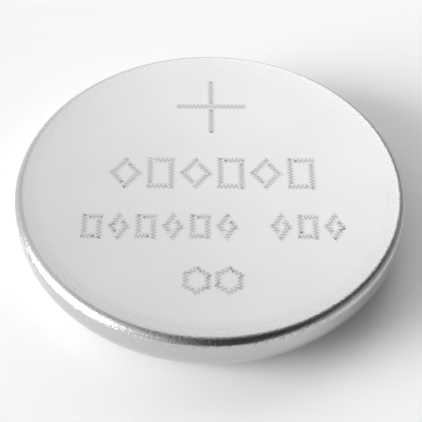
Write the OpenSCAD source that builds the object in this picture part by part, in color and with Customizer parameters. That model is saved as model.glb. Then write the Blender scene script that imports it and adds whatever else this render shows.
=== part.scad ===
// Lithium coin cell, 12.5 mm across and 2 mm high, with all that is sealed in it.
//
// The cell lies on its negative face with the positive face up. The origin is the
// centre of the negative face, and +Z runs through the middle of the cell. Sizes are
// in millimetres.
//
// All pieces but the collector are turned, so each is a half section drawn right of
// the axis. The can, the gasket and the cap are cut from the same few outlines, so
// the seal fills the whole space between the rolled rim and the cap's skirt.

/* [Cell] */
// Diameter over the can
cell_d = 12.5; // [11:0.1:16]
// Height from contact face to contact face
cell_h = 2.0; // [1.9:0.05:3.2]

/* [Positive can] */
// Thickness of the can's plated steel
can_t = 0.2; // [0.15:0.01:0.24]
// Outer radius of the corner between the face and the wall
can_corner_r = 0.3; // [0.26:0.01:0.36]
// Width of the band at the edge of the face, where it falls away a little
face_band_w = 0.4; // [0.2:0.05:1]
// How far the face falls across that band
face_fall = 0.015; // [0.005:0.005:0.03]
// Outer radius of the rim that is rolled in over the gasket
crimp_r = 1.1; // [0.9:0.05:1.15]
// How far round the rim is rolled, in degrees
crimp_turn = 84; // [75:1:90]
// Height of the rolled rim above the negative face
crimp_rise = 0.22; // [0.16:0.01:0.26]

/* [Negative cap] */
// Thickness of the cap's plated steel
cap_t = 0.2; // [0.15:0.01:0.24]
// Outer radius of the shoulder round the negative face
cap_shoulder_r = 0.35; // [0.26:0.01:0.4]
// Radius in the angle between the cap's step and its flange
cap_root_r = 0.08; // [0.04:0.01:0.12]

/* [Gasket] */
// Thickness of the gasket between the cap's skirt and the can
gasket_t = 0.25; // [0.18:0.01:0.3]
// Width of the gasket between the cap's step and the lowest line of the rolled rim
gasket_ring_w = 0.2; // [0.15:0.01:0.25]
// How far the gasket's free edge stands back from the rolled rim
gasket_recess = 0.08; // [0.04:0.01:0.12]
// Thickness of the gasket between the end of the skirt and the can's face
gasket_pad_t = 0.3; // [0.2:0.01:0.34]
// Thickness of the gasket's lip inside the skirt
gasket_lip_t = 0.25; // [0.15:0.01:0.4]
// How far that lip reaches down inside the skirt
gasket_lip_h = 0.3; // [0.1:0.01:0.4]

/* [Electrodes] */
// Thickness of the lithium disc
anode_t = 0.45; // [0.3:0.01:0.6]
// Gap all round the lithium disc, to the inside of the cap's step
anode_gap = 0.45; // [0.2:0.01:0.8]
// Thickness of the separator cup
separator_t = 0.12; // [0.06:0.01:0.16]
// Height of the separator cup
separator_h = 0.55; // [0.3:0.01:0.9]
// Outer radius of the fold round the foot of the separator cup
separator_fold_r = 0.2; // [0.18:0.01:0.3]
// Gap between the separator cup and the inside of the cap's step
separator_gap = 0.13; // [0.05:0.01:0.3]

/* [Collector] */
// Thickness of the collector mesh
collector_t = 0.1; // [0.05:0.01:0.2]
// How far the mesh stays inside the edge of the cathode pellet
collector_inset = 0.1; // [0.05:0.01:0.5]
// Width of the plain rim left round the mesh
collector_rim_w = 0.2; // [0.15:0.01:0.5]
// Long way of one diamond, from joint to joint
mesh_long = 1.5; // [1:0.05:3]
// Short way of one diamond, from joint to joint
mesh_short = 0.75; // [0.5:0.05:1.5]
// Width of the strands between the diamonds
strand_w = 0.14; // [0.08:0.01:0.18]

/* [Hidden] */
$fn = 128;

// Reach of a cutting shape past the shape that it cuts
over = 1;

// Can: the arc of the rolled rim is centred at curl_r, curl_z
can_r = cell_d / 2;
can_in_r = can_r - can_t;
can_in_z = cell_h - can_t;
curl_r = can_r - crimp_r;
curl_z = crimp_rise + crimp_r;
face_edge_r = can_r - can_corner_r;
face_edge_z = cell_h - face_fall;

// Cap: its skirt bends round the same centre as the rolled rim, one gasket inside it
step_r = curl_r - gasket_ring_w;
step_in_r = step_r - cap_t;
flange_z = crimp_rise + can_t + gasket_t;
skirt_r = can_in_r - gasket_t;
skirt_bend_r = crimp_r - can_t - gasket_t;
skirt_top_z = can_in_z - gasket_pad_t;

// Gasket: its lip hugs the inside of the skirt
lip_r = skirt_r - cap_t - gasket_lip_t;
lip_z = skirt_top_z - gasket_lip_h;
ring_z = crimp_rise + gasket_recess;

// Electrodes, stacked from the cap to the can
anode_r = step_in_r - anode_gap;
separator_r = step_in_r - separator_gap;
separator_z = cap_t + anode_t;
pellet_r = separator_r - separator_t;
pellet_z = separator_z + separator_t;
pellet_edge_r = separator_fold_r - separator_t;
pellet_top_z = can_in_z - collector_t;

// Collector: an opening is the diamond between strand centres, less half a strand
// on each side, and half_gap is the distance from its middle to those centres
collector_r = pellet_r - collector_inset;
half_long = mesh_long / 2;
half_short = mesh_short / 2;
half_gap = half_long * half_short / norm([half_long, half_short]);
opening_share = 1 - strand_w / 2 / half_gap;
mesh_r = collector_r - collector_rim_w;
mesh_cols = ceil(mesh_r / mesh_long);
mesh_rows = ceil(mesh_r / half_short);

// Outlines

// A square corner from the origin up and to the right, less the arc of its rounding
module corner_waste(r, reach) {
    difference() {
        square(r + reach);
        circle(r);
    }
}

// Half section of a disc, with its rim rounded below and above
module disc_outline(rim_r, low_z, high_z, low_r, high_r) {
    difference() {
        translate([0, low_z])
            square([rim_r, high_z - low_z]);
        if (low_r > 0)
            translate([rim_r - low_r, low_z + low_r])
                mirror([0, 1])
                    corner_waste(low_r, over);
        if (high_r > 0)
            translate([rim_r - high_r, high_z - high_r])
                corner_waste(high_r, over);
    }
}

// Everything within the outer surface of the can, as if its bottom were closed
module can_outside() {
    disc_outline(can_r, crimp_rise, face_edge_z, crimp_r, can_corner_r);
    polygon([
        [0, can_in_z],
        [face_edge_r, can_in_z],
        [face_edge_r, face_edge_z],
        [face_edge_r - face_band_w, cell_h],
        [0, cell_h]
    ]);
}

// Everything within the inner surface of the can, as if its bottom were closed
module can_inside() {
    disc_outline(can_in_r, crimp_rise + can_t, can_in_z, crimp_r - can_t, can_corner_r - can_t);
}

// The mouth of the can: all that lies past the end of the rolled rim
module can_mouth() {
    reach = crimp_r + over;
    polygon([
        [curl_r, curl_z],
        [curl_r + reach * cos(crimp_turn), curl_z - reach * sin(crimp_turn)],
        [-over, curl_z - reach],
        [-over, curl_z]
    ]);
}

// Everything within the cap's outer surface, or its inner one where inset is cap_t
module cap_outline(inset, top_z) {
    disc_outline(step_r - inset, inset, top_z, cap_shoulder_r - inset, 0);
    disc_outline(skirt_r - inset, flange_z + inset, top_z, skirt_bend_r - inset, 0);
    translate([step_r + cap_root_r, flange_z - cap_root_r])
        mirror([1, 0])
            corner_waste(cap_root_r + inset, cap_root_r);
}

// Sections

module can_section() {
    difference() {
        can_outside();
        can_inside();
        can_mouth();
    }
}

module cap_section() {
    difference() {
        cap_outline(0, skirt_top_z);
        cap_outline(cap_t, skirt_top_z + over);
    }
}

// The seal: round the outside of the cap, over the end of its skirt and down inside
// it, and out to a free edge in the can's mouth
module gasket_section() {
    difference() {
        intersection() {
            can_outside();
            translate([0, ring_z])
                square([can_r, can_in_z - ring_z]);
        }
        can_section();
        cap_outline(0, skirt_top_z);
        translate([0, curl_z])
            square([lip_r, cell_h - curl_z]);
    }
    intersection() {
        cap_outline(cap_t, cell_h);
        translate([lip_r, lip_z])
            square([gasket_lip_t, gasket_lip_h + gasket_pad_t / 2]);
    }
}

module separator_section() {
    difference() {
        disc_outline(separator_r, separator_z, separator_z + separator_h, separator_fold_r, 0);
        disc_outline(pellet_r, pellet_z, pellet_top_z + over, pellet_edge_r, 0);
    }
}

// Pieces

module positive_can() {
    color("silver")
        rotate_extrude()
            can_section();
}

module negative_cap() {
    color("gainsboro")
        rotate_extrude()
            cap_section();
}

module gasket() {
    color("dimgray")
        rotate_extrude()
            gasket_section();
}

// One opening of the mesh
module diamond() {
    polygon(opening_share * [
        [half_long, 0],
        [0, half_short],
        [-half_long, 0],
        [0, -half_short]
    ]);
}

// Expanded metal, flattened: rows of diamonds, each row half a diamond along
module cathode_collector() {
    color("lightslategray")
        translate([0, 0, pellet_top_z])
            linear_extrude(collector_t)
                difference() {
                    circle(collector_r);
                    for (row = [-mesh_rows : mesh_rows], col = [-mesh_cols : mesh_cols]) {
                        spot = [
                            (col + (row % 2 == 0 ? 0 : 1 / 2)) * mesh_long,
                            row * half_short
                        ];
                        if (norm([abs(spot.x) + half_long, spot.y]) < mesh_r)
                            translate(spot)
                                diamond();
                    }
                }
}

// Pressed powder, with its edges broken
module cathode_pellet() {
    color("#2b2b2b")
        rotate_extrude()
            disc_outline(pellet_r, pellet_z, pellet_top_z, pellet_edge_r, pellet_edge_r);
}

// Felt cup round the foot of the pellet
module separator() {
    color("ivory")
        rotate_extrude()
            separator_section();
}

module lithium_anode() {
    color("lightsteelblue")
        translate([0, 0, cap_t])
            cylinder(h = anode_t, r = anode_r);
}

positive_can();
negative_cap();
gasket();
cathode_collector();
cathode_pellet();
separator();
lithium_anode();
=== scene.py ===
import math

import bmesh
import bpy
from mathutils import Matrix, Vector


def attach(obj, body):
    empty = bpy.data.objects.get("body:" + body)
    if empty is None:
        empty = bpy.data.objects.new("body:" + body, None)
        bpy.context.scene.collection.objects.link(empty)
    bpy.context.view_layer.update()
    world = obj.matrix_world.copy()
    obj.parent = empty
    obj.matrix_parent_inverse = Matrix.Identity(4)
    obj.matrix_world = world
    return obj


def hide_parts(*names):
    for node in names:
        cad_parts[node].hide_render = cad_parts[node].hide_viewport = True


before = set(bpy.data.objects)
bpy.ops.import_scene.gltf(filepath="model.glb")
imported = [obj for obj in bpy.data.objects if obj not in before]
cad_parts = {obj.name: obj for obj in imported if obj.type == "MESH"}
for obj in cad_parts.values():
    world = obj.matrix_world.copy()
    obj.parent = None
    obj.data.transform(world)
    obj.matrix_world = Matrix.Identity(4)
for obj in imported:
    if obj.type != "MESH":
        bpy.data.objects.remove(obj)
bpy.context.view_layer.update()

# A lithium coin cell, lying on its negative face with the marked face up.
# Lengths in the dictionaries are millimetres. Meshes are worked on in millimetres too,
# and come down to Blender's metres when they are done.
metresPerMm = 0.001


# Takes a bmesh to an object, in metres unless scale says otherwise, and frees the bmesh
def makeObject(name, bm, scale=metresPerMm):
    bmesh.ops.scale(bm, vec=Vector((scale, scale, scale)), verts=bm.verts)
    mesh = bpy.data.meshes.new(name)
    bm.to_mesh(mesh)
    bm.free()
    obj = bpy.data.objects.new(name, mesh)
    bpy.context.scene.collection.objects.link(obj)
    return obj


# Camera

camera = {
    "lookAt": (0.0, -1.15, 2.0),  # a point on the face
    "distance": 40,
    "elevation": 48.6,  # degrees above the floor
    "azimuth": -1.6,  # degrees round from straight in front
    "roll": 1.45,
    "frameWidth": 422,  # pixels
    "pixelsPerMm": 31.9,  # at the point looked at
    "sensor": 36,
    "nearest": 1,
    "farthest": 10000,
}


def makeCamera():
    data = bpy.data.cameras.new("camera")
    data.sensor_width = camera["sensor"]
    widthThere = camera["frameWidth"] / camera["pixelsPerMm"]
    data.lens = camera["sensor"] * camera["distance"] / widthThere
    data.clip_start = camera["nearest"] * metresPerMm
    data.clip_end = camera["farthest"] * metresPerMm
    azimuth, elevation = math.radians(camera["azimuth"]), math.radians(camera["elevation"])
    back = Vector((
        math.sin(azimuth) * math.cos(elevation),
        -math.cos(azimuth) * math.cos(elevation),
        math.sin(elevation),
    ))
    aim = (-back).to_track_quat("-Z", "Y")
    place = Vector(camera["lookAt"]) + back * camera["distance"]
    obj = bpy.data.objects.new("camera", data)
    obj.matrix_world = (
        Matrix.Translation(place * metresPerMm)
        @ aim.to_matrix().to_4x4()
        @ Matrix.Rotation(math.radians(camera["roll"]), 4, "Z")
    )
    bpy.context.scene.collection.objects.link(obj)
    bpy.context.scene.camera = obj


# Shader maths as plain arithmetic

class Value:
    def __init__(self, tree, socket):
        self.tree = tree
        self.socket = socket

    def math(self, operation, *others, flip=False):
        node = self.tree.nodes.new("ShaderNodeMath")
        node.operation = operation
        terms = [self, *others]
        if flip:
            terms.reverse()
        for plug, term in zip(node.inputs, terms):
            connect(self.tree, plug, term)
        return Value(self.tree, node.outputs[0])

    def __add__(self, other):
        return self.math("ADD", other)

    def __sub__(self, other):
        return self.math("SUBTRACT", other)

    def __mul__(self, other):
        return self.math("MULTIPLY", other)

    def __rsub__(self, other):
        return self.math("SUBTRACT", other, flip=True)

    def __gt__(self, other):
        return self.math("GREATER_THAN", other)

    def __lt__(self, other):
        return self.math("LESS_THAN", other)

    __radd__ = __add__
    __rmul__ = __mul__

    def power(self, exponent):
        return self.math("POWER", exponent)

    def most(self, other):
        return self.math("MAXIMUM", other)

    def least(self, other):
        return self.math("MINIMUM", other)


def connect(tree, plug, term):
    if isinstance(term, Value):
        tree.links.new(plug, term.socket)
    else:
        plug.default_value = term


# The first where mask is 0 and the second where it is 1, each a number or a Value
def mixed(mask, first, second):
    return mask * (second - first) + first


class Recipe:
    # the node tree of one material, or of the world
    def __init__(self, tree):
        self.tree = tree
        tree.nodes.clear()

    # any node: its settings are set first, then the values or links of its sockets.
    # Several outputs are asked for by their names, and a node that ends a tree has none.
    def node(self, kind, settings=None, sockets=None, output=0):
        made = self.tree.nodes.new("ShaderNode" + kind)
        for name, setting in (settings or {}).items():
            setattr(made, name, setting)
        for name, term in (sockets or {}).items():
            connect(self.tree, made.inputs[name], term)
        if isinstance(output, tuple):
            return [Value(self.tree, made.outputs[name]) for name in output]
        if output is not None:
            return Value(self.tree, made.outputs[output])

    # 0 below low, 1 above high, smooth in between
    def ease(self, value, low, high):
        return self.node(
            "MapRange",
            {"interpolation_type": "SMOOTHSTEP"},
            {"Value": value, "From Min": low, "From Max": high},
        )

    def noise(self, vector, scale, detail=2, roughness=0.5):
        return self.node(
            "TexNoise",
            None,
            {"Vector": vector, "Scale": scale, "Detail": detail, "Roughness": roughness},
        )

    # a noise that swings about 0, where plain noise lies about 0.5
    def sway(self, vector, scale, detail=2, roughness=0.5):
        return self.noise(vector, scale, detail, roughness) - 0.5

    def stretch(self, vector, factors):
        return self.node("VectorMath", {"operation": "MULTIPLY"}, {0: vector, 1: factors})

    def turn(self, vector, angle):
        return self.node("Mapping", None, {"Vector": vector, "Rotation": (0, 0, angle)})

    def gray(self, level):
        return self.node("CombineColor", None, {"Red": level, "Green": level, "Blue": level})

    # a Mix node has sockets of each kind under the same names, so these go by number
    def mixColor(self, mask, first, second):
        return self.node(
            "Mix",
            {"data_type": "RGBA"},
            {0: mask, 6: first, 7: second},
            output=2,
        )

    def bump(self, height, relief):
        distance = relief * metresPerMm
        return self.node("Bump", None, {"Height": height, "Distance": distance})

    def surface(self, color, roughness, normal, metallic=0, sheen=0):
        self.finish(self.node(
            "BsdfPrincipled",
            None,
            {
                "Base Color": color,
                "Roughness": roughness,
                "Normal": normal,
                "Metallic": metallic,
                "Sheen Weight": sheen,
            },
        ))

    def finish(self, shader, kind="OutputMaterial"):
        self.node(kind, None, {"Surface": shader}, output=None)


def startMaterial(name):
    material = bpy.data.materials.new(name)
    material.use_nodes = True
    recipe = Recipe(material.node_tree)
    # the point on the piece, in millimetres from the middle of the negative face
    recipe.place = recipe.node(
        "VectorMath",
        {"operation": "SCALE"},
        {"Vector": recipe.node("TexCoord", output="Object"), "Scale": 1 / metresPerMm},
    )
    recipe.x, recipe.y, recipe.z = recipe.node(
        "SeparateXYZ", None, {"Vector": recipe.place}, output=("X", "Y", "Z")
    )
    recipe.radius = (recipe.x * recipe.x + recipe.y * recipe.y).power(0.5)
    return material, recipe


def plainGray(level):
    return (level, level, level, 1)


# Noise whose streaks run with the drawing of the sheet, up the wall and over the
# corner. Its seam is at the back.
drawing = {
    "scale": 9,
    "along": 0.25,  # how fast it changes along a streak, of how fast across it
}


def drawnSway(r):
    turn = r.x.math("ARCTAN2", 0 - r.y)
    along = drawing["along"]
    place = r.node(
        "CombineXYZ",
        None,
        {"X": turn * can["radius"], "Y": r.z * along, "Z": r.radius * along},
    )
    return r.sway(place, drawing["scale"])


# Small round specks in a share of the cells of a pattern. Each is full to the core's
# share of its size.
def specks(r, scale, share, size, core=0.6):
    apart, chance = r.node(
        "TexVoronoi", None, {"Vector": r.place, "Scale": scale}, output=("Distance", "Color")
    )
    chosen = r.node("SeparateColor", None, {"Color": chance}, output="Red") < share
    return (1 - r.ease(apart, size * core, size)) * chosen


# Studio

studio = {
    "ambient": 0.53,
    # what the metal mirrors, one over the other: which way it lies (x, y, z), how far
    # round that it is full, how far round it has faded out (degrees), and how bright
    "panels": [
        {"toward": (-0.81, 0.49, 0.31), "full": 77, "faded": 94, "level": 0.96},
        {"toward": (-0.57, 0.61, 0.55), "full": 9, "faded": 25, "level": 0.73},
        {"toward": (-0.27, 0.11, 0.96), "full": 3, "faded": 25, "level": 0.58},
        {"toward": (0.32, 0.82, 0.49), "full": 1, "faded": 34, "level": 1.71},
        {"toward": (0.3, -0.43, 0.85), "full": 5, "faded": 54, "level": 0.04},
        {"toward": (0.17, -0.88, 0.44), "full": 7, "faded": 32, "level": 0.06},
        {"toward": (0.64, -0.77, 0.0), "full": 4, "faded": 18, "level": 0.84},
        {"toward": (-0.94, -0.24, 0.24), "full": 12, "faded": 24, "level": 16.8},
        {"toward": (0.84, 0.55, -0.04), "full": 32, "faded": 52, "level": 0.36},
        {"toward": (0.69, 0.17, 0.7), "full": 4, "faded": 27, "level": 0.1},
    ],
    "floorSize": 1000,
    "floorDrop": 0.01,  # keeps the floor clear of the cap's face
    "floorColor": 0.95,
    "floorRoughness": 0.35,
}


def makeStudio():
    world = bpy.data.worlds.new("studio")
    world.use_nodes = True
    bpy.context.scene.world = world
    recipe = Recipe(world.node_tree)
    looked = recipe.node("TexCoord", output="Generated")
    way = recipe.node("VectorMath", {"operation": "NORMALIZE"}, {0: looked})
    level = studio["ambient"]
    for panel in studio["panels"]:
        middle = Vector(panel["toward"]).normalized()
        nearness = recipe.node(
            "VectorMath",
            {"operation": "DOT_PRODUCT"},
            {0: way, 1: middle},
            output="Value",
        )
        mask = recipe.ease(
            nearness,
            math.cos(math.radians(panel["faded"])),
            math.cos(math.radians(panel["full"])),
        )
        level = mixed(mask, level, panel["level"])
    background = recipe.node("Background", None, {"Color": plainGray(1), "Strength": level})
    recipe.finish(background, "OutputWorld")


def makeFloor():
    bm = bmesh.new()
    bmesh.ops.create_grid(
        bm,
        x_segments=1,
        y_segments=1,
        size=studio["floorSize"] / 2,
        matrix=Matrix.Translation((0, 0, -studio["floorDrop"])),
    )
    floor = makeObject("floor", bm)
    material = bpy.data.materials.new("floorPaper")
    material.use_nodes = True
    recipe = Recipe(material.node_tree)
    recipe.finish(recipe.node(
        "BsdfPrincipled",
        None,
        {
            "Base Color": plainGray(studio["floorColor"]),
            "Roughness": studio["floorRoughness"],
        },
    ))
    floor.data.materials.append(material)


# Turned pieces

turning = {
    "steps": 240,  # round the axis
    "roundingSteps": 96,  # in a whole turn: a rounded corner gets its share of them
    "fewestRoundingSteps": 3,
    "sectionMerge": 0.0005,  # points of a section that lie closer are one
    "meshMerge": 0.0001,
    "sharpAngle": 30,
}


# Draws a section from its corners, each (radius, height) or (radius, height, rounding)
def drawSection(bm, corners, closed):
    verts = [bm.verts.new((corner[0], 0, corner[1])) for corner in corners]
    for first, second in zip(verts, verts[1:]):
        bm.edges.new((first, second))
    if closed:
        bm.edges.new((verts[-1], verts[0]))
    turns = []
    for vert, corner in zip(verts, corners):
        if len(corner) < 3:
            continue
        before, after = (edge.other_vert(vert).co - vert.co for edge in vert.link_edges)
        turns.append((vert, math.pi - before.angle(after), corner[2]))
    for vert, turn, rounding in turns:
        bmesh.ops.bevel(
            bm,
            geom=[vert],
            affect="VERTICES",
            offset=rounding * math.tan(turn / 2),
            offset_type="OFFSET",
            segments=max(
                turning["fewestRoundingSteps"],
                round(turning["roundingSteps"] * turn / math.tau),
            ),
            profile=0.5,
            clamp_overlap=False,
            material=-1,
        )
    bmesh.ops.remove_doubles(bm, verts=bm.verts, dist=turning["sectionMerge"])


# Spins a section round the axis. An open section leaves two rings, one over the other,
# which are closed with a face each.
def turnSection(corners, closed=False):
    bm = bmesh.new()
    drawSection(bm, corners, closed)
    bmesh.ops.spin(
        bm,
        geom=bm.verts[:] + bm.edges[:],
        cent=(0, 0, 0),
        axis=(0, 0, 1),
        angle=math.tau,
        steps=turning["steps"],
        use_merge=True,
    )
    bmesh.ops.remove_doubles(bm, verts=bm.verts, dist=turning["meshMerge"])
    if not closed:
        rims = [edge for edge in bm.edges if edge.is_boundary]
        bmesh.ops.edgeloop_fill(bm, edges=rims)
    bmesh.ops.recalc_face_normals(bm, faces=bm.faces)
    for face in bm.faces:
        face.smooth = True
    return bm


# Gives a piece its edges and finish, and puts it in its node's place
def finishPiece(obj, material, node):
    obj.data.set_sharp_from_angle(angle=math.radians(turning["sharpAngle"]))
    obj.data.materials.clear()
    obj.data.materials.append(material)
    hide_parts(node)
    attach(obj, "root")
    print("made", obj.name, len(obj.data.polygons), "faces")


# Positive can

can = {
    "radius": 6.25,
    "height": 2.0,
    "sheet": 0.2,
    "cornerRounding": 0.3,
    "bandWidth": 0.4,  # where the face falls away towards its corner
    "bandFall": 0.015,
    "bandRounding": 6,
    "rollRadius": 1.1,
    "rollTurn": 84,
    "rollRise": 0.22,
    "holeRadius": 5.3,  # the flat of the face inside this is filled last
}


def canSection():
    outer, inner = can["radius"], can["radius"] - can["sheet"]
    top, under = can["height"], can["height"] - can["sheet"]
    rollOut, rollIn = can["rollRadius"], can["rollRadius"] - can["sheet"]
    middleR, middleZ = outer - rollOut, can["rollRise"] + rollOut
    turn = math.radians(can["rollTurn"])
    edge = outer - can["cornerRounding"]
    return [
        (can["holeRadius"], top),
        (edge - can["bandWidth"], top, can["bandRounding"]),
        (outer, top - can["bandFall"], can["cornerRounding"]),
        (outer, middleZ - rollOut * math.tan(turn / 2), rollOut),
        (middleR + rollOut * math.cos(turn), middleZ - rollOut * math.sin(turn)),
        (middleR + rollIn * math.cos(turn), middleZ - rollIn * math.sin(turn)),
        (inner, middleZ - rollIn * math.tan(turn / 2), rollIn),
        (inner, under, can["cornerRounding"] - can["sheet"]),
        (can["holeRadius"], under),
    ]


# Laser marks: each stroke is a shallow track, with a finer line cut in it that runs to
# and fro across it, and a dot where the line starts and stops

marks = {
    "strokeWidth": 0.22,
    "lineAcross": 0.1,  # width of the fine line, measured across the stroke
    "pitch": 0.125,
    "margin": 0.008,  # of the track past the turns of its line
    "clearance": 0.014,  # between one stroke's end and the next stroke's side
    "trackDepth": 0.0025,
    "lineDepth": 0.0055,
    "dotDepth": 0.0075,
    "dotRadius": 0.048,
    "dotCorners": 12,
    "cutAbove": 0.015,  # how far the cutter reaches over the face
    "sliver": 0.0001,  # an edge of the cut face that is shorter is closed up
    "plus": {"middle": (0.05, 3.54), "across": 2.3, "up": 2.48},
    # rows of plain shapes: the middle of the row, the step from one shape to the next,
    # and the sizes of the shapes between the middles of their strokes. None is a gap.
    "rows": [
        {
            "middle": (0.1, 0.465),
            "step": 1.13,
            "sizes": {"lozenge": (0.82, 1.1), "tile": (0.68, 1.14)},
            "shapes": ["lozenge", "tile"] * 3,
        },
        {
            "middle": (0.08, -1.8),
            "step": 0.84,
            "sizes": {"lozenge": (0.46, 0.82), "tile": (0.46, 0.78)},
            "shapes": ["tile", "lozenge"] * 3 + [None] + ["lozenge", "tile", "lozenge"],
        },
        {
            "middle": (0.04, -3.92),
            "step": 0.98,
            "sizes": {"hexagon": (0.66, 0.88)},
            "shapes": ["hexagon", "hexagon"],
        },
    ],
}

# Corners of each shape in a box from -1 to 1
shapeCorners = {
    "lozenge": [(0, -1), (1, 0), (0, 1), (-1, 0)],
    "tile": [(-1, -1), (1, -1), (1, 1), (-1, 1)],
    "hexagon": [(0, -1), (1, -0.5), (1, 0.5), (0, 1), (-1, 0.5), (-1, -0.5)],
}


def acrossOf(run):
    along = run.normalized()
    return Vector((-along.y, along.x, 0))


# The fine line of one stroke, and a dot at each end of it
def cutLine(bm, start, end):
    down = Vector((0, 0, -marks["lineDepth"]))
    run = end - start
    across = acrossOf(run)
    turns = max(2, 2 * round(run.length / marks["pitch"]))
    low = -marks["strokeWidth"] / 2
    high = -low - marks["lineAcross"]
    verts = []
    for turn in range(turns + 1):
        side = high if turn % 2 else low
        verts.append(bm.verts.new(start + run * turn / turns + across * side + down))
    edges = [bm.edges.new(pair) for pair in zip(verts, verts[1:])]
    made = bmesh.ops.extrude_edge_only(bm, edges=edges)["geom"]
    moved = [item for item in made if isinstance(item, bmesh.types.BMVert)]
    bmesh.ops.translate(bm, verts=moved, vec=across * marks["lineAcross"])
    inward = run.normalized() * marks["dotRadius"]
    for spot in (start + inward, end - inward):
        bmesh.ops.create_circle(
            bm,
            cap_ends=True,
            segments=marks["dotCorners"],
            radius=marks["dotRadius"],
            matrix=Matrix.Translation(spot + Vector((0, 0, -marks["dotDepth"]))),
        )


# A straight stroke with its track
def cutBar(bm, start, end):
    cutLine(bm, start, end)
    half = marks["strokeWidth"] / 2 + marks["margin"]
    along = (end - start).normalized() * marks["margin"]
    side = acrossOf(end - start) * half
    down = Vector((0, 0, -marks["trackDepth"]))
    start, end = start - along, end + along
    corners = (start - side, end - side, end + side, start + side)
    bm.faces.new([bm.verts.new(corner + down) for corner in corners])


# The corners moved out, so that each side lies that much further out
def widen(corners, distance):
    moved = []
    for number, spot in enumerate(corners):
        back = corners[number - 1] - spot
        on = corners[(number + 1) % len(corners)] - spot
        inward = (back.normalized() + on.normalized()).normalized()
        moved.append(spot - inward * distance / math.sin(back.angle(on) / 2))
    return moved


# Strokes round a closed shape, in one track with mitred corners
def cutShape(bm, corners):
    down = Vector((0, 0, -marks["trackDepth"]))
    half = marks["strokeWidth"] / 2 + marks["margin"]
    whole = bm.faces.new([bm.verts.new(spot + down) for spot in widen(corners, half)])
    whole.normal_update()
    bmesh.ops.inset_region(
        bm, faces=[whole], thickness=half * 2, use_boundary=True, use_even_offset=True
    )
    bmesh.ops.delete(bm, geom=[whole], context="FACES")
    reach = marks["strokeWidth"] / 2
    for number, start in enumerate(corners):
        end = corners[(number + 1) % len(corners)]
        after = corners[(number + 2) % len(corners)]
        along = (end - start).normalized()
        corner = (start - end).angle(after - end)
        stop = reach / math.tan(corner / 2) + marks["clearance"]
        cutLine(bm, start - along * reach, end - along * stop)


def markCutter():
    bm = bmesh.new()
    plus = marks["plus"]
    middle = Vector((*plus["middle"], 0))
    armX = Vector((plus["across"] / 2, 0, 0))
    armY = Vector((0, plus["up"] / 2, 0))
    gap = marks["strokeWidth"] / 2 + 2 * marks["margin"] + marks["clearance"]
    clear = Vector((0, gap, 0))
    cutBar(bm, middle - armX, middle + armX)
    cutBar(bm, middle + armY, middle + clear)
    cutBar(bm, middle - armY, middle - clear)
    for row in marks["rows"]:
        for number, shape in enumerate(row["shapes"]):
            if not shape:
                continue
            across, up = row["sizes"][shape]
            offset = (number - (len(row["shapes"]) - 1) / 2) * row["step"]
            spot = Vector((row["middle"][0] + offset, row["middle"][1], 0))
            cutShape(bm, [
                spot + Vector((x * across / 2, y * up / 2, 0)) for x, y in shapeCorners[shape]
            ])
    bmesh.ops.translate(bm, verts=bm.verts, vec=(0, 0, can["height"]))
    made = bmesh.ops.extrude_face_region(bm, geom=bm.faces[:])["geom"]
    lifted = [item for item in made if isinstance(item, bmesh.types.BMVert)]
    lift = marks["dotDepth"] + marks["cutAbove"]
    bmesh.ops.translate(bm, verts=lifted, vec=(0, 0, lift))
    bmesh.ops.recalc_face_normals(bm, faces=bm.faces)
    return bm


# Cuts the marks into the face, while both are still in millimetres
def engrave():
    blank = makeObject("blank", turnSection(canSection()), scale=1)
    cutter = makeObject("cutter", markCutter(), scale=1)
    cut = blank.modifiers.new("engrave", "BOOLEAN")
    cut.operation = "DIFFERENCE"
    cut.solver = "EXACT"
    cut.use_self = True
    cut.object = cutter
    graph = bpy.context.evaluated_depsgraph_get()
    bm = bmesh.new()
    bm.from_mesh(blank.evaluated_get(graph).data)
    bpy.data.objects.remove(blank)
    bpy.data.objects.remove(cutter)
    bmesh.ops.dissolve_degenerate(bm, dist=marks["sliver"], edges=bm.edges)
    return makeObject("canShell", bm)


# In the finishes, a pattern's dictionary says how many of its features lie in a
# millimetre and how much finer detail they carry. Tone, Roughness and Height are how far
# a pattern moves each of these, relief is the height of 1 in millimetres, and a pair of
# numbers is where something starts and where it is full.
canFinish = {
    "cloud": {"scale": 0.45, "detail": 3},
    "grain": {"scale": 24, "detail": 2, "roughness": 0.6},
    "peel": {"scale": 12, "detail": 3, "roughness": 0.6},  # left by drawing the corner
    "patches": {"scale": 1.6, "detail": 2},
    "specks": {"scale": 2.3, "share": 0.06, "size": 0.05},
    # where, by radius or height
    "rim": (5.92, 5.98),
    "corner": (1.61, 1.73),
    "band": (5.5, 5.7),
    "scuffFoot": (1.65, 1.7),
    "scuffTop": (1.8, 1.86),
    # where, by how far a pattern swings
    "peelShows": (0, 0.2),
    "scuffShows": (0.03, 0.1),
    "scuffOfPeel": 0.7,  # the rest comes from the patches
    "faceColor": 0.62,
    "rimColor": 0.61,
    "trackColor": 0.6,  # of the marks' shallow tracks
    "lineColor": 0.48,  # of the fine lines in them
    "dotColor": 0.46,
    "speckColor": 0.25,
    "cloudTone": 0.05,
    "grainTone": 0.012,
    "peelTone": 0.12,
    "trackGrainTone": 0.1,
    "lineGrainTone": 0.3,
    "dotPatchTone": 0.9,
    "faceRoughness": 0.28,
    "rimRoughness": 0.17,
    "trackRoughness": 0.32,
    "lineRoughness": 0.42,
    "grainRoughness": 0.06,
    "scuffRoughness": 0.2,
    "relief": 0.0025,
    "peelHeight": 4.2,
    "drawnHeight": 0.3,
    "scuffHeight": 1.2,
    "grainHeight": 0.02,
    "ringHeight": 0.06,
    "ringStep": 0.2,  # from one faint ring at the edge of the face to the next
}


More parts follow.
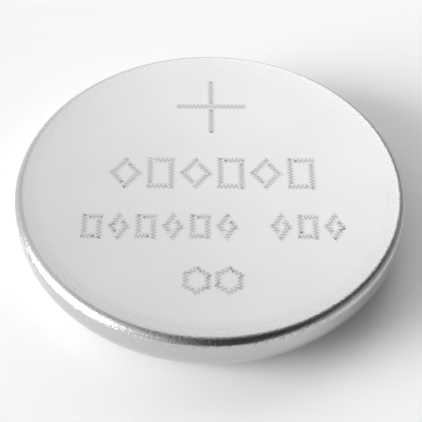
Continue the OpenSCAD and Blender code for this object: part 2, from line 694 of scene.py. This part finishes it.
def makeCanSteel():
    look = canFinish
    material, r = startMaterial("canSteel")
    onRim = r.ease(r.radius, *look["rim"])
    onCorner = onRim * r.ease(r.z, *look["corner"])
    onBand = r.ease(r.radius, *look["band"]) * (1 - onRim)

    # each level of the marks, told from the next by the height halfway between them
    top = can["height"]
    onFace = (r.z > top - can["sheet"] / 2) * (r.radius < can["holeRadius"])
    inTrack = (r.z < top - marks["trackDepth"] / 2) * onFace
    inLine = (r.z < top - (marks["trackDepth"] + marks["lineDepth"]) / 2) * onFace
    inDot = (r.z < top - (marks["lineDepth"] + marks["dotDepth"]) / 2) * onFace

    cloud = r.sway(r.place, **look["cloud"])
    grain = r.sway(r.place, **look["grain"])
    peel = r.sway(r.place, **look["peel"])
    patches = r.sway(r.place, **look["patches"])
    speck = specks(r, **look["specks"])

    # scuffs where the corner turns into the wall
    scuffBand = r.ease(r.z, *look["scuffFoot"]) * (1 - r.ease(r.z, *look["scuffTop"])) * onRim
    scuffed = mixed(look["scuffOfPeel"], patches, peel)
    scuff = r.ease(scuffed, *look["scuffShows"]) * scuffBand

    level = cloud * look["cloudTone"] + grain * look["grainTone"] + look["faceColor"]
    level = mixed(onRim, level, look["rimColor"])
    peelDark = r.ease(peel, *look["peelShows"]) * look["peelTone"]
    level = level * (1 - (onBand + onCorner) * peelDark)
    level = mixed(speck, level, look["speckColor"])
    level = mixed(inTrack, level, grain * look["trackGrainTone"] + look["trackColor"])
    level = mixed(inLine, level, grain * look["lineGrainTone"] + look["lineColor"])
    level = mixed(inDot, level, patches * look["dotPatchTone"] + look["dotColor"])

    roughness = grain * look["grainRoughness"] + look["faceRoughness"]
    roughness = mixed(onRim, roughness, look["rimRoughness"])
    roughness = scuff * look["scuffRoughness"] + roughness
    roughness = mixed(inTrack, roughness, look["trackRoughness"])
    roughness = mixed(inLine, roughness, look["lineRoughness"])

    rings = (r.radius * (math.tau / look["ringStep"])).math("SINE") * look["ringHeight"]
    height = onCorner * peel * look["peelHeight"]
    height = height + onRim * drawnSway(r) * look["drawnHeight"]
    height = height + scuff * look["scuffHeight"] + onBand * (peel + rings)
    height = height + grain * look["grainHeight"]
    r.surface(r.gray(level), roughness, r.bump(height, look["relief"]), metallic=1)
    return material


# Negative cap

cap = {
    "stepRadius": 4.95,
    "skirtRadius": 5.8,
    "sheet": 0.2,
    "shoulderRounding": 0.35,
    "rootRounding": 0.08,
    "flangeHeight": 0.67,
    "flangeRounding": 0.65,
    "top": 1.5,
    "holeRadius": 4.2,
}


def makeCap():
    sheet = cap["sheet"]
    step, skirt = cap["stepRadius"], cap["skirtRadius"]
    flange = cap["flangeHeight"]
    section = [
        (cap["holeRadius"], 0),
        (step, 0, cap["shoulderRounding"]),
        (step, flange, cap["rootRounding"]),
        (skirt, flange, cap["flangeRounding"]),
        (skirt, cap["top"]),
        (skirt - sheet, cap["top"]),
        (skirt - sheet, flange + sheet, cap["flangeRounding"] - sheet),
        (step - sheet, flange + sheet, cap["rootRounding"] + sheet),
        (step - sheet, sheet, cap["shoulderRounding"] - sheet),
        (cap["holeRadius"], sheet),
    ]
    return makeObject("capShell", turnSection(section))


capFinish = {
    "cloud": {"scale": 0.6, "detail": 3},
    "grain": {"scale": 12, "detail": 4},
    "scratchTurns": (0.35, 1.3, 2.4),  # which ways the scratches lie, in radians
    "scratchStretch": (0.7, 34, 1),
    "scratchShows": (0.62, 0.7),
    "color": 0.64,
    "cloudTone": 0.06,
    "grainTone": 0.04,
    "scratchTone": 0.05,
    "roughness": 0.22,
    "cloudRoughness": 0.1,
    "grainRoughness": 0.12,
    "relief": 0.0012,
    "grainHeight": 0.5,
    "scratchDepth": 0.4,
}


def makeCapSteel():
    look = capFinish
    material, r = startMaterial("capSteel")
    cloud = r.sway(r.place, **look["cloud"])
    grain = r.sway(r.place, **look["grain"])
    scratch = 0
    for angle in look["scratchTurns"]:
        lines = r.noise(r.stretch(r.turn(r.place, angle), look["scratchStretch"]), scale=1)
        scratch = r.ease(lines, *look["scratchShows"]) + scratch
    scratch = scratch.least(1)
    level = cloud * look["cloudTone"] + grain * look["grainTone"] + look["color"]
    level = level + scratch * look["scratchTone"]
    roughness = grain * look["grainRoughness"] + cloud * look["cloudRoughness"]
    roughness = roughness + look["roughness"]
    height = grain * look["grainHeight"] - scratch * look["scratchDepth"]
    r.surface(r.gray(level), roughness, r.bump(height, look["relief"]), metallic=1)
    return material


# Gasket

gasket = {
    "ringHeight": 0.3,  # of its free edge, above the floor
    "edgeRounding": 0.02,
    "lipRadius": 5.35,
    "lipHeight": 1.2,
}


def makeGasket():
    inner, under = can["radius"] - can["sheet"], can["height"] - can["sheet"]
    rollIn = can["rollRadius"] - can["sheet"]
    middleR = can["radius"] - can["rollRadius"]
    middleZ = can["rollRise"] + can["rollRadius"]
    turn = math.radians(can["rollTurn"])
    ring = gasket["ringHeight"]
    shoulder = cap["shoulderRounding"]
    # where the free edge meets the cap, on its rounded shoulder
    onShoulder = math.sqrt(shoulder ** 2 - (shoulder - ring) ** 2)
    onShoulder = cap["stepRadius"] - shoulder + onShoulder
    skirtIn = cap["skirtRadius"] - cap["sheet"]
    bend = cap["flangeRounding"] - cap["sheet"]
    belowBend = middleZ - gasket["lipHeight"]
    section = [
        (onShoulder, ring, gasket["edgeRounding"]),
        (cap["stepRadius"], shoulder),
        (cap["stepRadius"], cap["flangeHeight"], cap["rootRounding"]),
        (cap["skirtRadius"], cap["flangeHeight"], cap["flangeRounding"]),
        (cap["skirtRadius"], cap["top"]),
        (skirtIn, cap["top"]),
        (skirtIn, middleZ),
        (skirtIn - bend + math.sqrt(bend ** 2 - belowBend ** 2), gasket["lipHeight"]),
        (gasket["lipRadius"], gasket["lipHeight"]),
        (gasket["lipRadius"], under),
        (inner, under, can["cornerRounding"] - can["sheet"]),
        (inner, middleZ - rollIn * math.tan(turn / 2), rollIn),
        (middleR + rollIn * math.cos(turn), middleZ - rollIn * math.sin(turn)),
        (middleR + (middleZ - ring) / math.tan(turn), ring, gasket["edgeRounding"]),
    ]
    return makeObject("gasketRing", turnSection(section, closed=True))


gasketFinish = {
    "cloud": {"scale": 2.5, "detail": 2},
    "grain": {"scale": 22, "detail": 3},
    "color": 0.02,
    "cloudTone": 0.015,
    "grainTone": 0.02,
    "roughness": 0.42,
    "grainRoughness": 0.2,
    "relief": 0.003,
    "grainHeight": 0.6,
    "drawnHeight": 0.4,
}


def makeGasketPlastic():
    look = gasketFinish
    material, r = startMaterial("gasketPlastic")
    cloud = r.sway(r.place, **look["cloud"])
    grain = r.sway(r.place, **look["grain"])
    level = grain * look["grainTone"] + cloud * look["cloudTone"] + look["color"]
    roughness = grain * look["grainRoughness"] + look["roughness"]
    height = grain * look["grainHeight"] + drawnSway(r) * look["drawnHeight"]
    r.surface(r.gray(level), roughness, r.bump(height, look["relief"]))
    return material


# Inner pieces keep their solids' own meshes

collectorFinish = {
    "stretch": (1, 7, 1),  # of the streaks that rolling left
    "streaks": {"scale": 3.5, "detail": 3},
    "grain": {"scale": 24, "detail": 3},
    "smear": {"scale": 1.9, "detail": 4, "roughness": 0.65},  # powder off the pellet
    "smearShows": (0.52, 0.68),
    "smearCover": 0.7,
    "color": 0.5,
    "smearColor": 0.05,
    "streakTone": 0.14,
    "roughness": 0.34,
    "grainRoughness": 0.2,
    "smearRoughness": 0.3,
    "relief": 0.003,
    "grainHeight": 0.5,
    "streakHeight": 0.5,
}


def makeCollectorSteel():
    look = collectorFinish
    material, r = startMaterial("collectorSteel")
    streaks = r.sway(r.stretch(r.place, look["stretch"]), **look["streaks"])
    grain = r.sway(r.place, **look["grain"])
    smear = r.ease(r.noise(r.place, **look["smear"]), *look["smearShows"])
    level = streaks * look["streakTone"] + look["color"]
    level = mixed(smear * look["smearCover"], level, look["smearColor"])
    roughness = grain * look["grainRoughness"] + smear * look["smearRoughness"]
    roughness = roughness + look["roughness"]
    height = grain * look["grainHeight"] + streaks * look["streakHeight"]
    r.surface(r.gray(level), roughness, r.bump(height, look["relief"]), metallic=1)
    return material


pelletFinish = {
    "grain": {"scale": 26, "detail": 4, "roughness": 0.7},
    "lumps": {"scale": 5, "detail": 3},
    "flecks": {"scale": 9, "share": 0.08, "size": 0.22},
    "color": 0.022,
    "fleckColor": 0.12,
    "grainTone": 0.03,
    "lumpTone": 0.015,
    "roughness": 0.8,
    "grainRoughness": 0.25,
    "fleckGloss": 0.3,
    "relief": 0.01,
    "grainHeight": 0.7,
    "lumpHeight": 0.3,
}


def makePelletPowder():
    look = pelletFinish
    material, r = startMaterial("pelletPowder")
    grain = r.sway(r.place, **look["grain"])
    lumps = r.sway(r.place, **look["lumps"])
    fleck = specks(r, **look["flecks"])
    level = grain * look["grainTone"] + lumps * look["lumpTone"] + look["color"]
    level = mixed(fleck, level, look["fleckColor"])
    roughness = grain * look["grainRoughness"] - fleck * look["fleckGloss"]
    roughness = roughness + look["roughness"]
    height = grain * look["grainHeight"] + lumps * look["lumpHeight"]
    r.surface(r.gray(level), roughness, r.bump(height, look["relief"]))
    return material


feltFinish = {
    "wander": {"scale": 2.2, "detail": 2},  # how the fibres bend on their way
    "bend": 0.6,
    # three sets of fibres that lie across each other: turned, in radians, and stretched
    "fibres": [
        (0, (3, 26, 26)),
        (0, (26, 3, 26)),
        (0.8, (3, 24, 24)),
    ],
    "fibreDetail": 3,
    "strandShows": (0.45, 0.75),
    "pores": {"scale": 8, "detail": 3},
    "poresShow": (0.35, 0.7),
    "strandShare": 0.7,  # the rest is the pores'
    "color": (0.83, 0.81, 0.76, 1),
    # painted shade: the colour taken by the low places between the fibres
    "paintedGapShade": (0.56, 0.53, 0.47, 1),
    "roughness": 0.95,
    "strandGloss": 0.1,
    "sheen": 0.15,
    "relief": 0.012,
}


def makeSeparatorFelt():
    look = feltFinish
    material, r = startMaterial("separatorFelt")
    shift = r.noise(r.place, **look["wander"]) * look["bend"]
    shift = r.node("CombineXYZ", None, {"X": shift, "Y": shift, "Z": shift})
    bent = r.node("VectorMath", {"operation": "ADD"}, {0: r.place, 1: shift})
    sets = []
    for angle, factors in look["fibres"]:
        run = r.stretch(r.turn(bent, angle), factors)
        sets.append(r.noise(run, scale=1, detail=look["fibreDetail"]))
    strand = r.ease(sets[0].most(sets[1]).most(sets[2]), *look["strandShows"])
    pores = r.ease(r.noise(r.place, **look["pores"]), *look["poresShow"])
    height = mixed(look["strandShare"], pores, strand)
    # darker where the bump is low, between the strands: painted shade in the gaps of the felt
    color = r.mixColor(height, look["paintedGapShade"], look["color"])
    roughness = look["roughness"] - strand * look["strandGloss"]
    r.surface(color, roughness, r.bump(height, look["relief"]), sheen=look["sheen"])
    return material


lithiumFinish = {
    "stretch": (0.8, 16, 1),  # of the lines that rolling left
    "rolled": {"scale": 1, "detail": 4},
    "grain": {"scale": 15, "detail": 4},
    "tarnish": {"scale": 0.9, "detail": 5, "roughness": 0.6},
    "tarnishShows": (0.48, 0.72),
    "color": (0.58, 0.59, 0.62, 1),
    "tarnishColor": (0.33, 0.3, 0.29, 1),
    "tarnishTone": 0.75,
    "rolledTone": 0.5,
    "roughness": 0.42,
    "grainRoughness": 0.15,
    "tarnishRoughness": 0.25,
    "metallic": 0.95,
    "tarnishMetallic": 0.25,  # what tarnish takes off that
    "relief": 0.004,
    "grainHeight": 0.4,
    "rolledHeight": 0.6,
}


def makeLithiumMetal():
    look = lithiumFinish
    material, r = startMaterial("lithiumMetal")
    rolled = r.sway(r.stretch(r.place, look["stretch"]), **look["rolled"])
    grain = r.sway(r.place, **look["grain"])
    tarnish = r.ease(r.noise(r.place, **look["tarnish"]), *look["tarnishShows"])
    dull = tarnish * look["tarnishTone"] + rolled * look["rolledTone"]
    color = r.mixColor(dull, look["color"], look["tarnishColor"])
    roughness = tarnish * look["tarnishRoughness"] + grain * look["grainRoughness"]
    roughness = roughness + look["roughness"]
    height = rolled * look["rolledHeight"] + grain * look["grainHeight"]
    metallic = look["metallic"] - tarnish * look["tarnishMetallic"]
    r.surface(color, roughness, r.bump(height, look["relief"]), metallic)
    return material


# Gives a carried-over solid its finish
def dress(node, material):
    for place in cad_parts[node].material_slots:
        place.material = material
    print("dressed", node)


bpy.context.scene.view_settings.view_transform = "Standard"
makeCamera()
makeStudio()
makeFloor()
print("studio ready")

finishPiece(engrave(), makeCanSteel(), "positive_can")
finishPiece(makeCap(), makeCapSteel(), "negative_cap")
finishPiece(makeGasket(), makeGasketPlastic(), "gasket")
dress("cathode_collector", makeCollectorSteel())
dress("cathode_pellet", makePelletPowder())
dress("separator", makeSeparatorFelt())
dress("lithium_anode", makeLithiumMetal())
